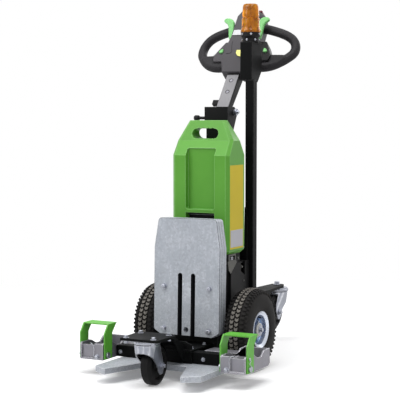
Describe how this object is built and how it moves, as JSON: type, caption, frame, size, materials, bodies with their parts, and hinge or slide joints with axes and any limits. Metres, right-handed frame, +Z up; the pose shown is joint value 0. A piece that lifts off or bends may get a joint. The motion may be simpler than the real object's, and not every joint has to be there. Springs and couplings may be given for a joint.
{
  "type": "walk-behind electric tow tractor",
  "caption": "Pedestrian electric tug with tiller, battery pack, ballast plates, drive wheels, casters and a latched roll-cage coupling.",
  "frame": {"origin": "centre of the outline on the floor", "axes": "+Z up, -Y toward the coupling end, +X to the right seen from the coupling"},
  "size_m": [0.5888, 1.034, 1.162],
  "materials": {
    "galvanised": "mottled hot-dip zinc",
    "zinc_plated": "bright zinc plating",
    "black_paint": "satin powder coat",
    "green_plastic": "fine grained moulding",
    "green_paint": "satin powder coat",
    "black_plastic": "fine grained moulding",
    "grey_plastic": "fine grained moulding",
    "silver_paint": "brushed",
    "tyre_rubber": "matt",
    "caster_rubber": "matt",
    "amber_lens": "clear amber moulding",
    "alloy": "cast"
  },
  "bodies": {
    "tug": {"base_plate": "galvanised", "ballast_plate_1": "galvanised", "ballast_plate_2": "galvanised", "ballast_plate_3": "galvanised", "chassis": "black_paint", "transaxle": "alloy", "drive_axle": "zinc_plated", "battery_box": "green_plastic", "battery_socket": "black_plastic", "battery_tray": "black_paint", "latch": "zinc_plated", "tiller_bracket": "black_paint", "tilt_bolt": "zinc_plated", "tilt_knob": "black_plastic", "mast_post": "black_paint", "beacon_bracket": "black_paint", "beacon_base": "black_plastic", "beacon_lens": "amber_lens", "crossbar": "black_paint", "front_bracket": "black_paint", "front_caster_head": "zinc_plated", "rear_caster_head": "zinc_plated", "rear_arm": "black_paint", "gripper_left": "zinc_plated", "gripper_right": "zinc_plated", "lever_pin_left": "zinc_plated", "lever_pin_right": "zinc_plated"},
    "tiller": {"tiller_arm": "black_paint", "arm_insert": "silver_paint", "tiller_head": "grey_plastic", "handle_left": "black_plastic", "handle_right": "black_plastic", "thumb_lever_left": "green_plastic", "thumb_lever_right": "green_plastic", "reverse_button": "black_plastic", "display_panel": "black_plastic"},
    "wheel_left": {"tyre_left": "tyre_rubber", "rim_left": "zinc_plated"},
    "wheel_right": {"tyre_right": "tyre_rubber", "rim_right": "zinc_plated"},
    "front_fork": {"front_caster_fork": "zinc_plated", "front_caster_axle": "zinc_plated"},
    "front_wheel": {"front_caster_wheel": "caster_rubber"},
    "rear_fork": {"rear_caster_fork": "zinc_plated", "rear_caster_axle": "zinc_plated"},
    "rear_wheel": {"rear_caster_wheel": "caster_rubber"},
    "latch_left": {"lever_left": "green_paint"},
    "latch_right": {"lever_right": "green_paint"}
  },
  "joints": [
    {"name": "tiller_tilt", "type": "hinge", "parent": "tug", "child": "tiller", "pos_m": [0, 0.041, 0.812], "axis": [-1, 0, 0], "range_deg": [0, 40]},
    {"name": "wheel_left_spin", "type": "hinge", "parent": "tug", "child": "wheel_left", "pos_m": [-0.161, -0.086, 0.13], "axis": [1, 0, 0], "continuous": true},
    {"name": "wheel_right_spin", "type": "hinge", "parent": "tug", "child": "wheel_right", "pos_m": [0.161, -0.086, 0.13], "axis": [1, 0, 0], "continuous": true},
    {"name": "front_caster_swivel", "type": "hinge", "parent": "tug", "child": "front_fork", "pos_m": [0, -0.464, 0.13], "axis": [0, 0, 1], "continuous": true},
    {"name": "front_caster_spin", "type": "hinge", "parent": "front_fork", "child": "front_wheel", "pos_m": [0, -0.422, 0.06], "axis": [1, 0, 0], "continuous": true},
    {"name": "rear_caster_swivel", "type": "hinge", "parent": "tug", "child": "rear_fork", "pos_m": [0, 0.475, 0.173], "axis": [0, 0, 1], "continuous": true},
    {"name": "rear_caster_spin", "type": "hinge", "parent": "rear_fork", "child": "rear_wheel", "pos_m": [0, 0.433, 0.103], "axis": [1, 0, 0], "continuous": true},
    {"name": "latch_left_swing", "type": "hinge", "parent": "tug", "child": "latch_left", "pos_m": [-0.243, -0.364, 0.062], "axis": [1, 0, 0], "range_deg": [0, 50]},
    {"name": "latch_right_swing", "type": "hinge", "parent": "tug", "child": "latch_right", "pos_m": [0.243, -0.364, 0.062], "axis": [1, 0, 0], "range_deg": [0, 50]}
  ]
}
